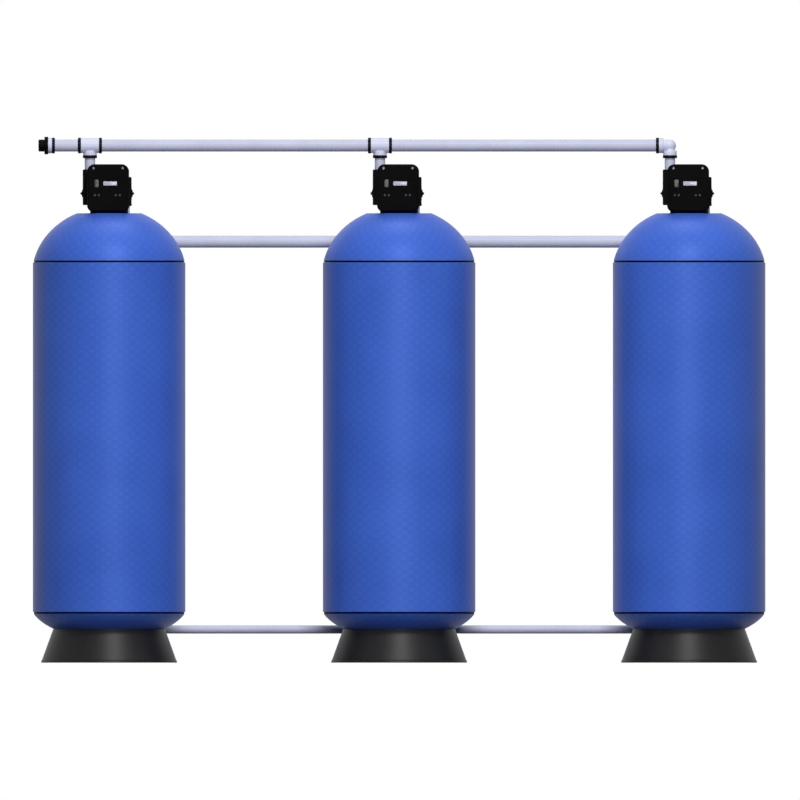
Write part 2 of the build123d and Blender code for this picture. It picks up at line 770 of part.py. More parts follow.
def ring(centre, direction, radius, reach):
    centre = Vector(*centre)
    start = centre + direction * (reach - ring_width)
    end = centre + direction * reach
    body = rod(radius + hub_wall + ring_proud, start, end)
    body = chamfer(body.edges().filter_by(GeomType.CIRCLE), 1.5)
    return body - rod(radius + pipe_gap, start - direction, end + direction)


def socket_start(reach):
    """How far from a fitting's centre a pipe's end stands."""
    return reach - ring_width - socket_depth + seat_gap


header_size = (header_radius, header_wall)
drop_size = (drop_radius, drop_wall)
drain_size = (drain_radius, drain_wall)


def inlet_fittings():
    """Two reducing tees and, over the last vessel, an elbow: their centres and ends."""
    places = []
    for number, tank_x in enumerate(tank_xs):
        centre = (tank_x + inlet_port_x, valve_elbow_y, inlet_header_z)
        ends = [(DOWN, *drop_size, branch_reach)]
        if number < len(tank_xs) - 1:
            ends += [(LEFT, *header_size, tee_reach), (RIGHT, *header_size, tee_reach)]
        else:
            ends += [(LEFT, *header_size, elbow_reach)]
        places.append((centre, ends))
    return places


def inlet_header_pipes():
    y, z = valve_elbow_y, inlet_header_z
    drops = [x + inlet_port_x for x in tank_xs]
    end = (drops[0] - inlet_end_run, y, z)
    runs = [pipe(*header_size, end, (drops[0] - socket_start(tee_reach), y, z))]
    last = len(drops) - 2
    for number in range(len(drops) - 1):
        far_reach = elbow_reach if number == last else tee_reach
        start = (drops[number] + socket_start(tee_reach), y, z)
        end = (drops[number + 1] - socket_start(far_reach), y, z)
        runs.append(pipe(*header_size, start, end))
    return solids_of(runs)


def inlet_drop_pipe():
    x, y = inlet_port_x, valve_elbow_y
    low = valve_z + socket_start(branch_reach)
    return pipe(*drop_size, (x, y, low), (x, y, inlet_header_z - socket_start(branch_reach)))


def tail(x, y_end):
    """The flanged tail that a union nut draws against a valve port."""
    flange = rod_y(tail_flange_radius, x, valve_z, port_end_y, port_end_y + tail_flange_thickness)
    return flange + rod_y(tail_radius, x, valve_z, port_end_y, y_end)


def inlet_valve_elbow():
    x, y = inlet_port_x, valve_elbow_y
    body = fitting((x, y, valve_z), [(UP, *drop_size, branch_reach)]) + tail(x, y)
    waist = drop_radius + hub_wall / 2
    bore = drop_radius - drop_wall
    body += Pos(x, y, valve_z) * Sphere(waist)
    body -= rod_y(bore, x, valve_z, port_end_y - 1, y)
    body -= rod(bore, (x, y, valve_z), (x, y, valve_z + branch_reach))
    socket_z = valve_z + branch_reach - ring_width - socket_depth
    body -= rod(drop_radius + pipe_gap, (x, y, socket_z), (x, y, valve_z + branch_reach))
    return body - Pos(x, y, valve_z) * Sphere(bore)


tailpiece_end_y = port_end_y + tail_socket_start + socket_depth + hub_wall


def outlet_tailpiece():
    hub_y = port_end_y + tail_socket_start
    body = tail(outlet_port_x, hub_y + 1)
    body += rod_y(drop_radius + hub_wall, outlet_port_x, valve_z, hub_y, tailpiece_end_y)
    body -= rod_y(drop_radius - drop_wall, outlet_port_x, valve_z, port_end_y - 1, tailpiece_end_y + 1)
    socket_y = tailpiece_end_y - socket_depth
    return body - rod_y(drop_radius + pipe_gap, outlet_port_x, valve_z, socket_y, tailpiece_end_y + 1)


def outlet_corner_ends():
    return [(FRONT, *drop_size, branch_reach), (DOWN, *drop_size, branch_reach)]


def outlet_fittings():
    """For each vessel a corner behind its valve and a fitting on the header, and the outlet branch."""
    places = []
    last = len(tank_xs) - 1
    for number, tank_x in enumerate(tank_xs):
        x = tank_x + outlet_port_x
        places.append(((x, outlet_header_y, valve_z), outlet_corner_ends()))
        ends = [(UP, *drop_size, branch_reach)]
        if number > 0:
            ends.append((LEFT, *header_size, tee_reach))
        if number < last:
            ends.append((RIGHT, *header_size, tee_reach))
        places.append(((x, outlet_header_y, outlet_header_z), ends))
    branch = [(side, *header_size, tee_reach) for side in (LEFT, RIGHT)]
    branch.append((BACK, *header_size, elbow_reach))
    places.append(((outlet_branch_x(), outlet_header_y, outlet_header_z), branch))
    return places


def outlet_branch_x():
    return outlet_port_x + outlet_branch_offset


def header_run(centres, y, z, size, reach):
    """Pipes between the fittings of a straight header, whose centres are x values in order."""
    runs = []
    for near, far in zip(centres, centres[1:]):
        start = (near + socket_start(reach), y, z)
        runs.append(pipe(*size, start, (far - socket_start(reach), y, z)))
    return runs


def outlet_pipes():
    y, z = outlet_header_y, outlet_header_z
    centres = sorted([x + outlet_port_x for x in tank_xs] + [outlet_branch_x()])
    pipes = header_run(centres, y, z, header_size, tee_reach)
    for tank_x in tank_xs:
        x = tank_x + outlet_port_x
        front = (x, tailpiece_end_y - socket_depth + seat_gap, valve_z)
        pipes.append(pipe(*drop_size, front, (x, y - socket_start(branch_reach), valve_z)))
        low = (x, y, z + socket_start(branch_reach))
        pipes.append(pipe(*drop_size, low, (x, y, valve_z - socket_start(branch_reach))))
    end_y = y + end_union_start(elbow_reach)
    branch_start = (outlet_branch_x(), y + socket_start(elbow_reach), z)
    pipes.append(pipe(*header_size, branch_start, (outlet_branch_x(), end_y, z)))
    return solids_of(pipes)


def drain_fittings():
    """For each vessel a corner behind its valve and a fitting on the header, and the drain branch."""
    places = []
    last = len(tank_xs) - 1
    for number, x in enumerate(tank_xs):
        corner = [(side, *drain_size, drain_reach) for side in (FRONT, DOWN)]
        places.append(((x, drain_y, drain_port_z), corner))
        ends = [(UP, *drain_size, drain_reach)]
        if number > 0:
            ends.append((LEFT, *drain_size, drain_reach))
        if number < last:
            ends.append((RIGHT, *drain_size, drain_reach))
        places.append(((x, drain_y, drain_header_z), ends))
    branch = [(side, *drain_size, drain_reach) for side in (LEFT, RIGHT, BACK)]
    places.append(((drain_branch_offset, drain_y, drain_header_z), branch))
    return places


def drain_pipes():
    y = drain_y
    centres = sorted(tank_xs + [drain_branch_offset])
    pipes = header_run(centres, y, drain_header_z, drain_size, drain_reach)
    for x in tank_xs:
        front = (x, drain_port_end_y - socket_depth + seat_gap, drain_port_z)
        pipes.append(pipe(*drain_size, front, (x, y - socket_start(drain_reach), drain_port_z)))
        low = (x, y, drain_header_z + socket_start(drain_reach))
        pipes.append(pipe(*drain_size, low, (x, y, drain_port_z - socket_start(drain_reach))))
    x = drain_branch_offset
    start = (x, y + socket_start(drain_reach), drain_header_z)
    pipes.append(pipe(*drain_size, start, (x, y + end_union_start(drain_reach), drain_header_z)))
    return solids_of(pipes)


def valve_port_rings():
    """The rings where a pipe enters a tailpiece or a drain port directly."""
    found = []
    for tank_x in tank_xs:
        x = tank_x + outlet_port_x
        found.append(ring((x, tailpiece_end_y, valve_z), BACK, drop_radius, ring_width))
        found.append(ring((tank_x, drain_port_end_y, drain_port_z), BACK, drain_radius, ring_width))
        elbow = (tank_x + inlet_port_x, valve_elbow_y, valve_z)
        found.append(ring(elbow, UP, drop_radius, branch_reach))
    return found


def grip_nut(centre, direction, outer, bore, length, lip_bore, lip):
    """A union nut with grip lugs round it, open towards the threaded end at centre."""
    centre = Vector(*centre)
    body = rod(outer, centre, centre + direction * length)
    place = Plane(origin=centre, z_dir=direction)
    for step in range(nut_lugs):
        lug = Box(2 * nut_lug, nut_lug_width, length, align=(Align.CENTER, Align.CENTER, Align.MIN))
        body += place * Rot(0, 0, 360 / nut_lugs * step) * Pos(outer, 0, 0) * lug
    body -= rod(bore, centre - direction, centre + direction * (length - lip))
    return body - rod(lip_bore, centre, centre + direction * (length + 1))


def valve_nuts():
    start_y = port_end_y + tail_flange_thickness + nut_gap + nut_lip - nut_length
    nuts = []
    for tank_x in tank_xs:
        for port_x in (inlet_port_x, outlet_port_x):
            centre = (tank_x + port_x, start_y, valve_z)
            lip_bore = tail_radius + nut_gap
            nuts.append(
                grip_nut(centre, BACK, nut_radius, port_radius + nut_gap, nut_length, lip_bore, nut_lip)
            )
    return nuts


# End unions, where other pipework is joined: a ring and a collar on the pipe, a nut and a spigot


union_length = collar_length - socket_depth + end_nut_length + end_spigot_length


def end_union_start(reach):
    """How far from a fitting's centre the pipe ends, in the collar of its end union."""
    return reach + seat_gap + ring_width + socket_depth


def end_unions():
    """Each union: where its pipe ends, the way it points, and the pipe's size."""
    inlet_x = tank_xs[0] + inlet_port_x - inlet_end_run
    outlet_y = outlet_header_y + end_union_start(elbow_reach)
    drain_end_y = drain_y + end_union_start(drain_reach)
    return [
        ((inlet_x, valve_elbow_y, inlet_header_z), LEFT, *header_size),
        ((outlet_branch_x(), outlet_y, outlet_header_z), BACK, *header_size),
        ((drain_branch_offset, drain_end_y, drain_header_z), BACK, *drain_size),
    ]


def union_collar(end, direction, radius, wall):
    end = Vector(*end)
    start = end - direction * socket_depth
    body = rod(radius + hub_wall + collar_proud, start, end + direction * (collar_length - socket_depth))
    body -= rod(radius - wall, start, end + direction * collar_length)
    return body - rod(radius + pipe_gap, start - direction, end + direction * seat_gap)


def union_face(end, direction):
    return Vector(*end) + direction * (collar_length - socket_depth)


def end_spigot(end, direction, radius, wall):
    start = union_face(end, direction)
    neck_end = start + direction * (end_nut_length + spigot_neck_proud)
    tip = start + direction * (end_nut_length + end_spigot_length)
    free_end = rod(radius, neck_end, tip)
    rims = free_end.edges().filter_by(GeomType.CIRCLE).sort_by(lambda edge: edge.center().dot(direction))
    body = chamfer(rims[-1], spigot_tip_chamfer)
    body += rod(radius - spigot_neck_depth, start, neck_end)
    body += rod(radius + hub_wall / 2, start, start + direction * tail_flange_thickness)
    return body - rod(radius - wall, start - direction, tip + direction)


def end_nut(end, direction, radius):
    start = union_face(end, direction)
    outer = radius + hub_wall + end_nut_proud - nut_lug
    lip = end_nut_length - tail_flange_thickness - nut_gap
    bore = radius + hub_wall / 2 + nut_gap
    return grip_nut(start, direction, outer, bore, end_nut_length, radius + nut_gap, lip)


def end_rings():
    found = []
    for end, direction, radius, _ in end_unions():
        start = Vector(*end) - direction * (socket_depth + ring_width)
        found.append(ring(start, direction, radius, ring_width))
    return found


# Assembly: one file for each piece, or for each group of like pieces

drain_end_y = end_unions()[-1][0][1] + union_length
row_y = (tank_radius - drain_end_y) / 2


def add(name, shape):
    export_step(Pos(0, row_y, 0) * shape, f"parts/{name}.step")


def for_each_tank(name, shape):
    """The same piece at each vessel, as numbered nodes."""
    for number, x in enumerate(tank_xs, 1):
        add(f"{name}_{number}", Pos(x, 0, 0) * shape)


def group_for_tanks(name, shape):
    """The same piece at each vessel, as separate solids of one node."""
    add(name, solids_of([Pos(x, 0, 0) * shape for x in tank_xs]))


for_each_tank("tank", tank())
for_each_tank("base", base())
for_each_tank("valve_body", valve_body())
for_each_tank("front_cover", front_cover())
for_each_tank("piston", piston())
for_each_tank("drive_gear", drive_gear())
for_each_tank("motor_pinion", motor_pinion())
for label, button_x in button_xs.items():
    for_each_tank(f"{label}_button", button(button_x))

group_for_tanks("lower_distributors", lower_distributor())
group_for_tanks("riser_tubes", riser_tube())
group_for_tanks("gravel_beds", gravel_bed())
group_for_tanks("carbon_beds", media_bed(gravel_top_z, carbon_top_z))
group_for_tanks("upper_diffusers", upper_diffuser())
group_for_tanks("seal_stacks", seal_stack())
group_for_tanks("drive_brackets", drive_bracket())
group_for_tanks("drive_motors", drive_motor())
group_for_tanks("circuit_boards", circuit_board())
group_for_tanks("display_windows", window_pane(*display_size))
group_for_tanks("indicator_lenses", window_pane(*lens_size))
group_for_tanks("cover_screws", cover_screws())

add("inlet_header_pipes", inlet_header_pipes())
add("inlet_header_fittings", solids_of([fitting(*place) for place in inlet_fittings()]))
group_for_tanks("inlet_drop_pipes", inlet_drop_pipe())
group_for_tanks("inlet_valve_elbows", inlet_valve_elbow())
add("outlet_pipes", outlet_pipes())
add("outlet_fittings", solids_of([fitting(*place) for place in outlet_fittings()]))
group_for_tanks("outlet_tailpieces", outlet_tailpiece())
add("drain_pipes", drain_pipes())
add("drain_fittings", solids_of([fitting(*place) for place in drain_fittings()]))
fitting_places = inlet_fittings() + outlet_fittings() + drain_fittings()
all_rings = [found for place in fitting_places for found in rings_of(*place)]
add("retaining_rings", solids_of(all_rings + valve_port_rings() + end_rings()))
add("valve_union_nuts", solids_of(valve_nuts()))
end_nuts = [end_nut(end, direction, radius) for end, direction, radius, _ in end_unions()]
add("end_union_nuts", solids_of(end_nuts))
add("union_collars", solids_of([union_collar(*union) for union in end_unions()]))
add("end_spigots", solids_of([end_spigot(*union) for union in end_unions()]))
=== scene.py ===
import math

import bmesh
import bpy
from mathutils import Matrix, Vector


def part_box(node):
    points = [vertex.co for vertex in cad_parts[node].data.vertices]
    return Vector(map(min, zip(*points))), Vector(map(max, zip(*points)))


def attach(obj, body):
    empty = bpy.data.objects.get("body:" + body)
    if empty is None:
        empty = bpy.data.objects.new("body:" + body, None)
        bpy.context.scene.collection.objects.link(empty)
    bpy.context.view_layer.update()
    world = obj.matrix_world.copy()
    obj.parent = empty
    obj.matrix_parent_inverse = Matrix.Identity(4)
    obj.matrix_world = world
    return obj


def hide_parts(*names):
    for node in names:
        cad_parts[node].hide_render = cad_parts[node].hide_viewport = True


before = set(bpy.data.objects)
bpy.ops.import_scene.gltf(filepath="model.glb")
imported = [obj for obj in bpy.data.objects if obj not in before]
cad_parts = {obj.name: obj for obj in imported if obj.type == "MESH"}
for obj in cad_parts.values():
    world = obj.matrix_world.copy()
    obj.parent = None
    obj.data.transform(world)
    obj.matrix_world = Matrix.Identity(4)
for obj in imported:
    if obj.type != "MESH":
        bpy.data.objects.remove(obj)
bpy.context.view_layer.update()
scene = bpy.context.scene
scene.view_settings.view_transform = "Standard"


# Studio. The unit is seen square from the front with no perspective, one pixel to 4 mm. One softbox
# hangs high in front and one low, which puts a bright band down each vessel, and weak ones hang
# overhead and behind. The pale floor fades into a room that the camera and the gloss see as white.

photo_scale = 0.004
photo_width = 800
photo_centre = (0.0036, 1.0508)
camera_distance = 8.0
unit_middle = (0, 0, 1.0)
room_light = 0.05
floor_reach = 14
fade_start = 2.0
fade_end = 8.0


def linear(colour):
    """An sRGB hex colour as the linear values that the shaders take."""
    channels = [int(colour[start:start + 2], 16) / 255 for start in (1, 3, 5)]
    return [c / 12.92 if c <= 0.04045 else ((c + 0.055) / 1.055) ** 2.4 for c in channels] + [1.0]


def add_node(tree, kind, values=(), links=(), **settings):
    """One node. values and links are (input name or number, value or output) pairs."""
    made = tree.nodes.new(kind)
    for key, value in settings.items():
        setattr(made, key, value)
    for key, value in values:
        made.inputs[key].default_value = value
    for key, source in links:
        tree.links.new(source, made.inputs[key])
    return made


def surface(name, **values):
    """A new material, its node tree and its shader, with these values set on the shader."""
    made = bpy.data.materials.new(name)
    made.use_nodes = True
    shader = made.node_tree.nodes["Principled BSDF"]
    for label, value in values.items():
        shader.inputs[label.replace("_", " ")].default_value = value
    return made, made.node_tree, shader


camera = bpy.data.objects.new("camera", bpy.data.cameras.new("camera"))
camera.data.type = "ORTHO"
camera.data.ortho_scale = photo_scale * photo_width
camera.data.clip_end = 40
camera.location = (photo_centre[0], -camera_distance, photo_centre[1])
camera.rotation_euler = (math.radians(90), 0, 0)
scene.collection.objects.link(camera)
scene.camera = camera


def area_lamp(name, place, size, power):
    """A softbox of a size in metres and a power in watts, turned to the middle of the unit."""
    lamp = bpy.data.objects.new(name, bpy.data.lights.new(name, "AREA"))
    lamp.data.shape = "RECTANGLE"
    lamp.data.size, lamp.data.size_y = size
    lamp.data.energy = power
    lamp.location = place
    aim = Vector(unit_middle) - Vector(place)
    lamp.rotation_euler = aim.to_track_quat("-Z", "Y").to_euler()
    scene.collection.objects.link(lamp)
    return lamp


area_lamp("high softbox", (1.0, -11.0, 12.0), (3.2, 2.4), 1950)
area_lamp("front softbox", (0.4, -12.0, 3.0), (4.6, 2.4), 820)
area_lamp("overhead softbox", (0.3, 2.2, 15.0), (6.0, 2.8), 680)
area_lamp("back softbox", (-5.0, 12.5, 6.0), (3.6, 3.6), 800).visible_glossy = False

world = bpy.data.worlds.new("studio room")
world.use_nodes = True
scene.world = world
tree = world.node_tree
background = tree.nodes["Background"].inputs
rays = add_node(tree, "ShaderNodeLightPath").outputs
seen = add_node(tree, "ShaderNodeMath", operation="MAXIMUM",
                links=[(0, rays["Is Camera Ray"]), (1, rays["Is Transmission Ray"])])
seen = add_node(tree, "ShaderNodeMath", operation="MAXIMUM",
                links=[(0, seen.outputs[0]), (1, rays["Is Glossy Ray"])])
strength = add_node(tree, "ShaderNodeMapRange", links=[(0, seen.outputs[0])],
                    values=[("To Min", room_light), ("To Max", 1.0)])
tree.links.new(strength.outputs[0], background["Strength"])
background["Color"].default_value = (1, 1, 1, 1)

# Matt paint in a pale neutral grey, which shows the unit's shadow. Away from the unit it fades into
# white light, as a studio floor does, and it throws no light back on the unit's underside.
corners = [(x * floor_reach, y * floor_reach, 0) for x, y in ((-1, -1), (1, -1), (1, 1), (-1, 1))]
floor_mesh = bpy.data.meshes.new("floor")
floor_mesh.from_pydata(corners, [], [(0, 1, 2, 3)])
floor = bpy.data.objects.new("floor", floor_mesh)
scene.collection.objects.link(floor)
floor_paint, tree, shader = surface("matt white floor paint", Base_Color=linear("#D9D9DA"),
                                    Roughness=0.9, Specular_IOR_Level=0.1)
place = add_node(tree, "ShaderNodeTexCoord")
away = add_node(tree, "ShaderNodeVectorMath", operation="LENGTH",
                links=[(0, place.outputs["Object"])])
fade = add_node(tree, "ShaderNodeMapRange", interpolation_type="SMOOTHSTEP",
                links=[("Value", away.outputs["Value"])],
                values=[("From Min", fade_start), ("From Max", fade_end)])
white = add_node(tree, "ShaderNodeEmission")
faded = add_node(tree, "ShaderNodeMixShader",
                 links=[(0, fade.outputs["Result"]), (1, shader.outputs[0]), (2, white.outputs[0])])
tree.links.new(faded.outputs[0], tree.nodes["Material Output"].inputs["Surface"])
floor_mesh.materials.append(floor_paint)
floor.visible_diffuse = False


# Pressure vessels. Each is a blow-moulded liner wound over with glass filament in blue resin, 610 mm
# across, with a shallow groove where each dome starts, painted near-black as shade, and a flat,
# thicker neck at the top.

vessel_names = ["tank_1", "tank_2", "tank_3"]
vessel_radius = 0.305
vessel_seams = (0.195, 1.609)
vessel_top = 1.798
dome_radius = 0.3016
low_dome = (0.050, 0.153)
high_dome = (-0.063, 0.277)
groove_height = 0.008
groove_depth = 0.0045
neck_radius = 0.050
neck_depth = 0.034
groove_taper = 0.0004
groove_lip = 0.0012
cylinder_steps = 12
dome_steps = 40
winding_angle = 54
winding_pitch = 0.028
wave_phase = 20  # the wave texture's own factor on its scale


def turning_tree():
    """Geometry Nodes: an outline drawn as (radius - Centre radius, -height) is turned about Z."""
    tree = bpy.data.node_groups.new("turned piece", "GeometryNodeTree")
    for label, kind in (("Outline", "Geometry"), ("Segments", "Int"), ("Centre radius", "Float"),
                        ("Material", "Material")):
        tree.interface.new_socket(label, in_out="INPUT", socket_type="NodeSocket" + kind)
    tree.interface.new_socket("Piece", in_out="OUTPUT", socket_type="NodeSocketGeometry")
    given = add_node(tree, "NodeGroupInput")
    circle = add_node(tree, "GeometryNodeCurvePrimitiveCircle",
                      links=[("Resolution", given.outputs["Segments"]),
                             ("Radius", given.outputs["Centre radius"])])
    level = add_node(tree, "GeometryNodeSetCurveNormal", links=[("Curve", circle.outputs[0])], mode="Z_UP")
    outline = add_node(tree, "GeometryNodeMeshToCurve", links=[(0, given.outputs["Outline"])])
    turned = add_node(tree, "GeometryNodeCurveToMesh",
                      links=[("Curve", level.outputs[0]), ("Profile Curve", outline.outputs[0])])
    welded = add_node(tree, "GeometryNodeMergeByDistance", values=[("Distance", 1e-6)],
                      links=[("Geometry", turned.outputs[0])])
    real = add_node(tree, "GeometryNodeRealizeInstances", links=[(0, welded.outputs[0])])
    finish = add_node(tree, "GeometryNodeSetMaterial",
                      links=[("Geometry", real.outputs[0]), ("Material", given.outputs["Material"])])
    add_node(tree, "NodeGroupOutput", links=[(0, finish.outputs[0])])
    return tree


def applied(source, tree, **inputs):
    """The plain mesh that a tree makes from source, whose object is then removed."""
    modifier = source.modifiers.new(tree.name, "NODES")
    modifier.node_group = tree
    sockets = {item.name: item.identifier for item in tree.interface.items_tree
               if item.in_out == "INPUT"}
    for label, value in inputs.items():
        modifier[sockets[label.replace("_", " ")]] = value
    evaluated = source.evaluated_get(bpy.context.evaluated_depsgraph_get())
    mesh = bpy.data.meshes.new_from_object(evaluated)
    bpy.data.objects.remove(source)
    return mesh


def smooth(mesh, angle=32):
    """Faces outwards, and rounded to the eye except where they meet at more than angle degrees."""
    shape = bmesh.new()
    shape.from_mesh(mesh)
    bmesh.ops.recalc_face_normals(shape, faces=shape.faces)
    shape.to_mesh(mesh)
    shape.free()
    mesh.shade_smooth()
    mesh.set_sharp_from_angle(angle=math.radians(angle))
    return mesh


def piece(name, mesh, body, *nodes):
    """An object at the origin that rides on a body and stands for CAD nodes."""
    mesh.name = name
    made = bpy.data.objects.new(name, mesh)
    scene.collection.objects.link(made)
    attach(made, body)
    if nodes:
        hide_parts(*nodes)
    return made


turning = turning_tree()


def turned(outline, finish, segments=96, closed=True):
    """A solid turned from (radius, height) points about Z, standing at the origin."""
    centre_radius = 1.0
    points = [(radius - centre_radius, -height, 0) for radius, height in outline]
    edges = [(step, step + 1) for step in range(len(points) - 1)]
    if closed:
        edges.append((len(points) - 1, 0))
    mesh = bpy.data.meshes.new("outline")
    mesh.from_pydata(points, edges, [])
    source = bpy.data.objects.new("outline", mesh)
    scene.collection.objects.link(source)
    return smooth(applied(source, turning, Segments=segments, Centre_radius=centre_radius, Material=finish))


def dome_points(seam, dome, end_height):
    """Points on a dome from its seam to the height end_height, or to the axis."""
    rise, depth = dome
    centre = seam + rise
    width = dome_radius / math.sqrt(1 - (rise / depth) ** 2)
    first = math.asin((seam - centre) / depth)
    last = math.asin(max(-1.0, (end_height - centre) / depth))
    angles = [first + (last - first) * step / dome_steps for step in range(dome_steps + 1)]
    return [(width * math.cos(angle), centre + depth * math.sin(angle)) for angle in angles]


# Filament-wound fibreglass under blue gelcoat: satin, a little wavy, with the crossed bands of the
# winding just showing as slightly lighter, raised diamonds about 28 mm apart. The blue tint and the
# low index of refraction keep the gloss blue and the edges dark, as the photograph shows them.
gelcoat, tree, shader = surface("wound fibreglass in blue gelcoat", Roughness=0.46, IOR=1.3,
                                Specular_IOR_Level=0.76, Specular_Tint=linear("#94AEFF"))
winding_map = add_node(tree, "ShaderNodeUVMap", uv_map="winding")
bands = []
for slant in (1, -1):
    turn = add_node(tree, "ShaderNodeMapping", links=[("Vector", winding_map.outputs[0])],
                    values=[("Rotation", (0, 0, slant * math.radians(winding_angle)))])
    bands.append(add_node(tree, "ShaderNodeTexWave", links=[("Vector", turn.outputs[0])],
                          wave_type="BANDS", bands_direction="X", wave_profile="SIN",
                          values=[("Scale", 2 * math.pi / winding_pitch / wave_phase),
                                  ("Distortion", 0.6), ("Detail", 1.0), ("Detail Scale", 0.6)]))
crossed = add_node(tree, "ShaderNodeMath", operation="MULTIPLY",
                   links=[(0, bands[0].outputs["Fac"]), (1, bands[1].outputs["Fac"])])
place = add_node(tree, "ShaderNodeTexCoord")
drift = add_node(tree, "ShaderNodeTexNoise", links=[("Vector", place.outputs["Object"])],
                 values=[("Scale", 3.5), ("Detail", 3.0)])
shade = add_node(tree, "ShaderNodeMath", operation="MULTIPLY_ADD", values=[(1, 0.28)],
                 links=[(0, crossed.outputs[0]), (2, drift.outputs["Fac"])])
tint = add_node(tree, "ShaderNodeValToRGB", links=[("Fac", shade.outputs[0])])
tint.color_ramp.elements[0].position = 0.25
tint.color_ramp.elements[0].color = linear("#2F4FA4")
tint.color_ramp.elements[1].position = 0.95
tint.color_ramp.elements[1].color = linear("#395BB4")
tree.links.new(tint.outputs[0], shader.inputs["Base Color"])
weave = add_node(tree, "ShaderNodeBump", values=[("Strength", 0.05), ("Distance", 0.0006)],
                 links=[("Height", crossed.outputs[0])])
waves = add_node(tree, "ShaderNodeBump", values=[("Strength", 0.06), ("Distance", 0.004)],
                 links=[("Height", drift.outputs["Fac"]), ("Normal", weave.outputs[0])])
tree.links.new(waves.outputs[0], shader.inputs["Normal"])

# Painted shade: a near-black colour in the groove at each end of the winding, standing in for the shadow in
# it.
groove_painted_shade, tree, shader = surface("painted shade in the seam groove", Roughness=0.6, IOR=1.3,
                                     Specular_IOR_Level=0.1)
place = add_node(tree, "ShaderNodeTexCoord")
groove_shade_speckle = add_node(tree, "ShaderNodeTexNoise", values=[("Scale", 60.0)],
                 links=[("Vector", place.outputs["Object"])])
tint = add_node(tree, "ShaderNodeValToRGB", links=[("Fac", groove_shade_speckle.outputs["Fac"])])
tint.color_ramp.elements[0].color = linear("#000214")
tint.color_ramp.elements[1].color = linear("#020624")
tree.links.new(tint.outputs[0], shader.inputs["Base Color"])

low_seam, high_seam = vessel_seams
low_edge, high_edge = low_seam + groove_height, high_seam - groove_height
groove_floor = vessel_radius - groove_depth
rise = (high_seam - low_seam) / cylinder_steps
shell = list(reversed(dome_points(low_seam, low_dome, -1)))
shell += [(groove_floor, low_seam + groove_taper), (groove_floor, low_edge)]
shell += [(vessel_radius - groove_lip, low_edge), (vessel_radius, low_edge + groove_lip)]
shell += [(vessel_radius, low_seam + rise * step) for step in range(1, cylinder_steps)]
shell += [(vessel_radius, high_edge - groove_lip), (vessel_radius - groove_lip, high_edge)]
shell += [(groove_floor, high_edge), (groove_floor, high_seam - groove_taper)]
shell += dome_points(high_seam, high_dome, vessel_top)
shell += [(neck_radius, vessel_top), (neck_radius, vessel_top - neck_depth), (0, vessel_top - neck_depth)]

for name in vessel_names:
    low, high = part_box(name)
    middle = (low + high) / 2
    mesh = turned(shell, gelcoat, segments=160, closed=False)
    mesh.transform(Matrix.Translation((middle.x, middle.y, 0)))
    winding = mesh.uv_layers.new(name="winding")
    for face in mesh.polygons:
        angles = []
        for corner in face.loop_indices:
            spot = mesh.vertices[mesh.loops[corner].vertex_index].co
            angles.append(math.atan2(spot.x - middle.x, middle.y - spot.y))
        wraps = max(angles) - min(angles) > math.pi
        for corner, angle in zip(face.loop_indices, angles):
            height = mesh.vertices[mesh.loops[corner].vertex_index].co.z
            angle += 2 * math.pi if wraps and angle < 0 else 0
            winding.data[corner].uv = (angle * vessel_radius, height)
    # The upright floor faces of each groove take the painted shade.
    mesh.materials.append(groove_painted_shade)
    for face in mesh.polygons:
        spot = face.center
        radius = math.hypot(spot.x - middle.x, spot.y - middle.y)
        upright = radius < groove_floor + groove_lip / 2 and face.normal.z ** 2 < 0.5
        from_groove = min(abs(spot.z - (seam + edge) / 2)
                          for seam, edge in ((low_seam, low_edge), (high_seam, high_edge)))
        if upright and from_groove < (groove_height + groove_taper) / 2:
            face.material_index = 1
    vessel = piece(name + "_shell", mesh, "unit", name)


# Vessel bases. Each is a cone of black polypropylene, moulded with a seat that follows the vessel's
# lower dome and a rolled bead round the foot, and it carries the vessel by its own weight.

base_foot = 0.272
base_top = 0.2235
base_wall = 0.008
bead_height = 0.010
bead_step = 0.003
bead_ease = 0.0005
foot_ease = 0.002
foot_lip = 0.030
seat_width = 0.024
seat_depth = 0.030
seat_gap = 0.0003


def grained(name, colours, roughness, grain, depth, **values):
    """A colour that drifts between two, and a fine texture grain metres across and depth deep."""
    made, tree, shader = surface(name, Roughness=roughness, **values)
    place = add_node(tree, "ShaderNodeTexCoord")
    drift = add_node(tree, "ShaderNodeTexNoise", links=[("Vector", place.outputs["Object"])],
                     values=[("Scale", 9.0), ("Detail", 4.0)])
    tint = add_node(tree, "ShaderNodeValToRGB", links=[("Fac", drift.outputs["Fac"])])
    tint.color_ramp.elements[0].position, tint.color_ramp.elements[1].position = 0.3, 0.7
    tint.color_ramp.elements[0].color, tint.color_ramp.elements[1].color = map(linear, colours)
    tree.links.new(tint.outputs[0], shader.inputs["Base Color"])
    fine = add_node(tree, "ShaderNodeTexNoise", links=[("Vector", place.outputs["Object"])],
                    values=[("Scale", 1 / grain), ("Detail", 2.0)])
    bump = add_node(tree, "ShaderNodeBump", links=[("Height", fine.outputs["Fac"])],
                    values=[("Strength", 0.35), ("Distance", depth)])
    tree.links.new(bump.outputs[0], shader.inputs["Normal"])
    return made


def grained_plastic(name, colours, roughness, grain, depth, specular=0.5):
    """A plastic of a low index of refraction, so that the white room shows little at its edges."""
    return grained(name, colours, roughness, grain, depth, IOR=1.3, Specular_IOR_Level=specular)


# Black polypropylene with a soft leather grain about 2 mm across.
base_plastic = grained_plastic("moulded black polypropylene", ("#0A0A0C", "#101012"), 0.44,
                               0.002, 0.0001, 0.42)


def low_dome_height(radius):
    """The height at which the seat meets the vessel's lower dome, less the gap between them."""
    rise, depth = low_dome
    width = dome_radius / math.sqrt(1 - (rise / depth) ** 2)
    return low_seam + rise - (depth + seat_gap) * math.sqrt(1 - (radius / (width + seat_gap)) ** 2)


base_height = low_dome_height(base_top)
cone_foot = base_foot - bead_step
cone_slope = (cone_foot - base_top) / (base_height - bead_height)
seat_height = base_height - seat_depth


